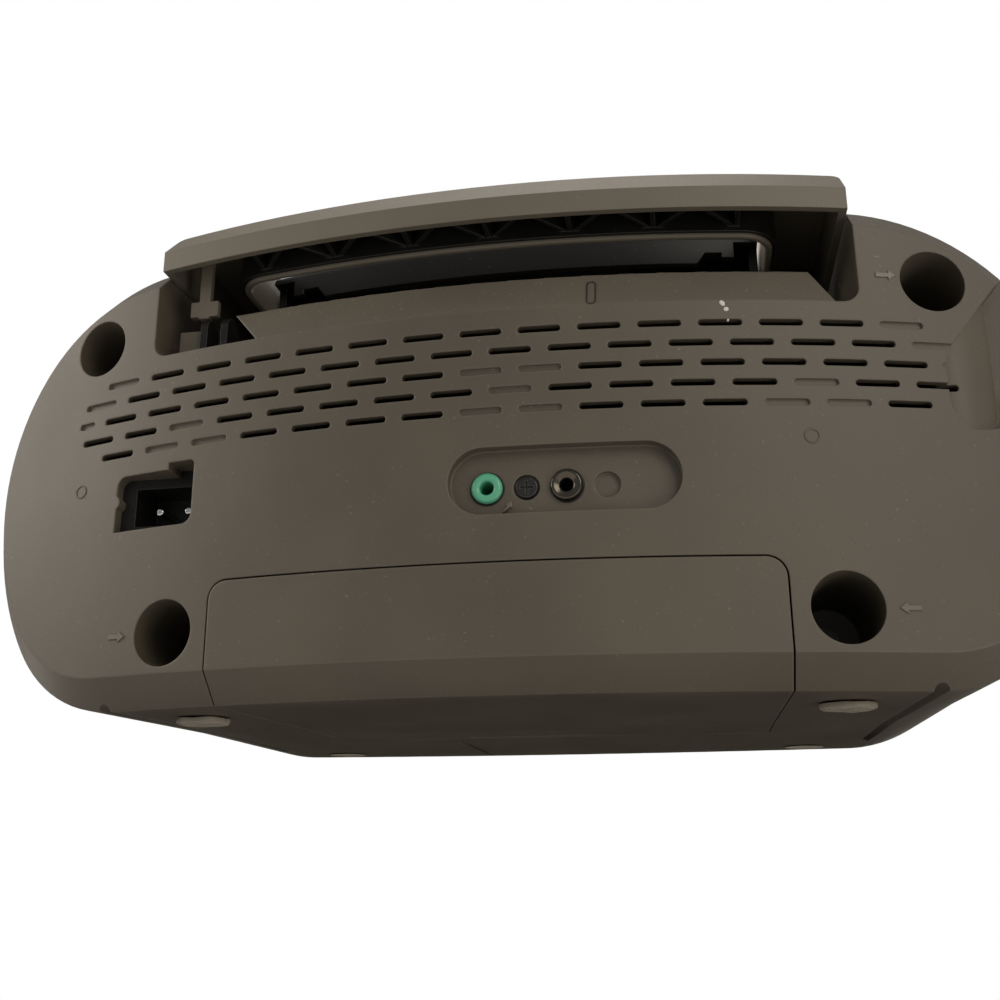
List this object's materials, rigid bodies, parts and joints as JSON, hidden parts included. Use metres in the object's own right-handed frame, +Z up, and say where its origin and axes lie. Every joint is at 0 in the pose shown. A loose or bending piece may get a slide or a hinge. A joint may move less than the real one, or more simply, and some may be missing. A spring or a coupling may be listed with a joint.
{
  "type": "cd boombox",
  "caption": "Portable CD player with radio: raised disc deck under a hinged lid, folding U handle, speakers, battery door, telescopic antenna, mains inlet and audio sockets.",
  "frame": {"origin": "on the table, under the middle of the cabinet", "axes": "+X to the left of someone looking at the back, +Y out of the back, +Z up; the speakers and controls face -Y"},
  "size_m": [0.32, 0.2153, 0.147],
  "materials": {
    "cabinet_plastic": "fine satin grain",
    "handle_plastic": "fine satin grain",
    "lid_plastic": "satin",
    "black_plastic": "satin",
    "smoked_plastic": "polished, see-through",
    "green_plastic": "satin",
    "steel": "drawn",
    "chrome": "polished",
    "black_steel": "blackened",
    "rubber": "matt, worn",
    "circuit_board": "satin",
    "transformer_iron": "varnished",
    "ferrite": "matt",
    "paper_cone": "matt",
    "grille_metal": "satin",
    "white_plastic": "satin",
    "clear_lens": "polished",
    "button_plastic": "satin"
  },
  "bodies": {
    "casing": {"ac_inlet": "black_plastic", "audio_in_jack": "black_plastic", "battery_box": "black_plastic", "battery_contacts": "steel", "cabinet_screws": "steel", "cd_well": "black_plastic", "control_board": "circuit_board", "display_lens": "smoked_plastic", "display_module": "white_plastic", "front_cabinet": "cabinet_plastic", "guide_rods": "steel", "handle_clip": "black_plastic", "handle_pins": "steel", "headphone_jack": "green_plastic", "inlet_pins": "chrome", "jack_board": "circuit_board", "jack_screw": "black_steel", "lid_hinge_pins": "steel", "main_board": "circuit_board", "mech_chassis": "black_plastic", "mech_dampers": "rubber", "power_transformer": "transformer_iron", "rear_cabinet": "cabinet_plastic", "rubber_feet": "rubber", "sled_motor": "steel", "speaker_cone_left": "paper_cone", "speaker_cone_right": "paper_cone", "speaker_frame_left": "black_plastic", "speaker_frame_right": "black_plastic", "speaker_grille_left": "grille_metal", "speaker_grille_right": "grille_metal", "speaker_magnet_left": "ferrite", "speaker_magnet_right": "ferrite", "spindle_motor": "steel", "top_panel": "black_plastic"},
    "handle": {"handle_cover": "handle_plastic", "handle_frame": "black_plastic"},
    "door": {"battery_door": "cabinet_plastic"},
    "lid": {"cd_lid": "lid_plastic", "lid_window": "smoked_plastic"},
    "clamp": {"disc_clamp": "black_plastic"},
    "lid_release": {"lid_button": "lid_plastic"},
    "spindle": {"turntable": "black_plastic"},
    "pickup": {"pickup_sled": "white_plastic", "pickup_lens": "clear_lens"},
    "pinion": {"sled_pinion": "white_plastic"},
    "back_key": {"back_button": "button_plastic"},
    "play_key": {"play_button": "button_plastic"},
    "stop_key": {"stop_button": "button_plastic"},
    "forward_key": {"forward_button": "button_plastic"},
    "power_key": {"power_button": "button_plastic"},
    "volume": {"volume_knob": "button_plastic"},
    "tuning": {"tuning_knob": "button_plastic"},
    "band": {"band_switch": "button_plastic"},
    "antenna_root": {"antenna_base": "black_plastic", "antenna_fork_pin": "steel"},
    "antenna_1": {"antenna_tube_1": "chrome"},
    "antenna_2": {"antenna_tube_2": "chrome"},
    "antenna_3": {"antenna_tube_3": "chrome"},
    "antenna_4": {"antenna_tube_4": "chrome"}
  },
  "joints": [
    {"name": "handle_hinge", "type": "hinge", "parent": "casing", "child": "handle", "pos_m": [0, -0.008, 0.137], "axis": [1, 0, 0], "range_deg": [0, 90]},
    {"name": "door_slide", "type": "slide", "parent": "casing", "child": "door", "axis": [0, 1, 0], "range_m": [0, 0.03]},
    {"name": "lid_hinge", "type": "hinge", "parent": "casing", "child": "lid", "pos_m": [0, 0.058, 0.1415], "axis": [-1, 0, 0], "range_deg": [0, 70]},
    {"name": "clamp_spin", "type": "hinge", "parent": "lid", "child": "clamp", "pos_m": [0, -0.004, 0.141], "axis": [0, 0, 1], "continuous": true},
    {"name": "lid_button_press", "type": "slide", "parent": "casing", "child": "lid_release", "axis": [0, 0, -1], "range_m": [0, 0.0022], "stiffness_N_per_m": 300, "springref_m": -0.001},
    {"name": "spindle_spin", "type": "hinge", "parent": "casing", "child": "spindle", "pos_m": [0, -0.004, 0.1344], "axis": [0, 0, 1], "continuous": true},
    {"name": "pickup_slide", "type": "slide", "parent": "casing", "child": "pickup", "axis": [1, 0, 0], "range_m": [0, 0.03]},
    {"name": "pinion_spin", "type": "hinge", "parent": "casing", "child": "pinion", "pos_m": [0.042, -0.027, 0.124], "axis": [0, 0, 1], "range_deg": [-290, 5]},
    {"name": "back_press", "type": "slide", "parent": "casing", "child": "back_key", "axis": [0, 0.9848, -0.1736], "range_m": [0, 0.0012], "stiffness_N_per_m": 300, "springref_m": -0.001},
    {"name": "play_press", "type": "slide", "parent": "casing", "child": "play_key", "axis": [0, 0.9848, -0.1736], "range_m": [0, 0.0012], "stiffness_N_per_m": 300, "springref_m": -0.001},
    {"name": "stop_press", "type": "slide", "parent": "casing", "child": "stop_key", "axis": [0, 0.9848, -0.1736], "range_m": [0, 0.0012], "stiffness_N_per_m": 300, "springref_m": -0.001},
    {"name": "forward_press", "type": "slide", "parent": "casing", "child": "forward_key", "axis": [0, 0.9848, -0.1736], "range_m": [0, 0.0012], "stiffness_N_per_m": 300, "springref_m": -0.001},
    {"name": "power_press", "type": "slide", "parent": "casing", "child": "power_key", "axis": [0, 0.9848, -0.1736], "range_m": [0, 0.0012], "stiffness_N_per_m": 300, "springref_m": -0.001},
    {"name": "volume_turn", "type": "hinge", "parent": "casing", "child": "volume", "pos_m": [-0.033, -0.09226, 0.10197], "axis": [0, 0.9848, -0.1736], "range_deg": [-140, 140]},
    {"name": "tuning_turn", "type": "hinge", "parent": "casing", "child": "tuning", "pos_m": [0.033, -0.09226, 0.10197], "axis": [0, 0.9848, -0.1736], "range_deg": [-140, 140]},
    {"name": "band_slide", "type": "slide", "parent": "casing", "child": "band", "axis": [1, 0, 0], "range_m": [-0.004, 0.004]},
    {"name": "antenna_swivel", "type": "hinge", "parent": "casing", "child": "antenna_root", "pos_m": [-0.145, 0.06, 0.105], "axis": [-1, 0, 0], "range_deg": [0, 105]},
    {"name": "antenna_tilt", "type": "hinge", "parent": "antenna_root", "child": "antenna_1", "pos_m": [-0.145, 0.06, 0.105], "axis": [0, 0, -1], "range_deg": [0, 90]},
    {"name": "antenna_extend_2", "type": "slide", "parent": "antenna_1", "child": "antenna_2", "axis": [0, -1, 0], "range_m": [0, 0.08]},
    {"name": "antenna_extend_3", "type": "slide", "parent": "antenna_2", "child": "antenna_3", "axis": [0, -1, 0], "range_m": [0, 0.08]},
    {"name": "antenna_extend_4", "type": "slide", "parent": "antenna_3", "child": "antenna_4", "axis": [0, -1, 0], "range_m": [0, 0.08]}
  ],
  "couplings": [
    {"joint": "pinion_spin", "follows": "pickup_slide", "rad_per_m": -166.67}
  ]
}
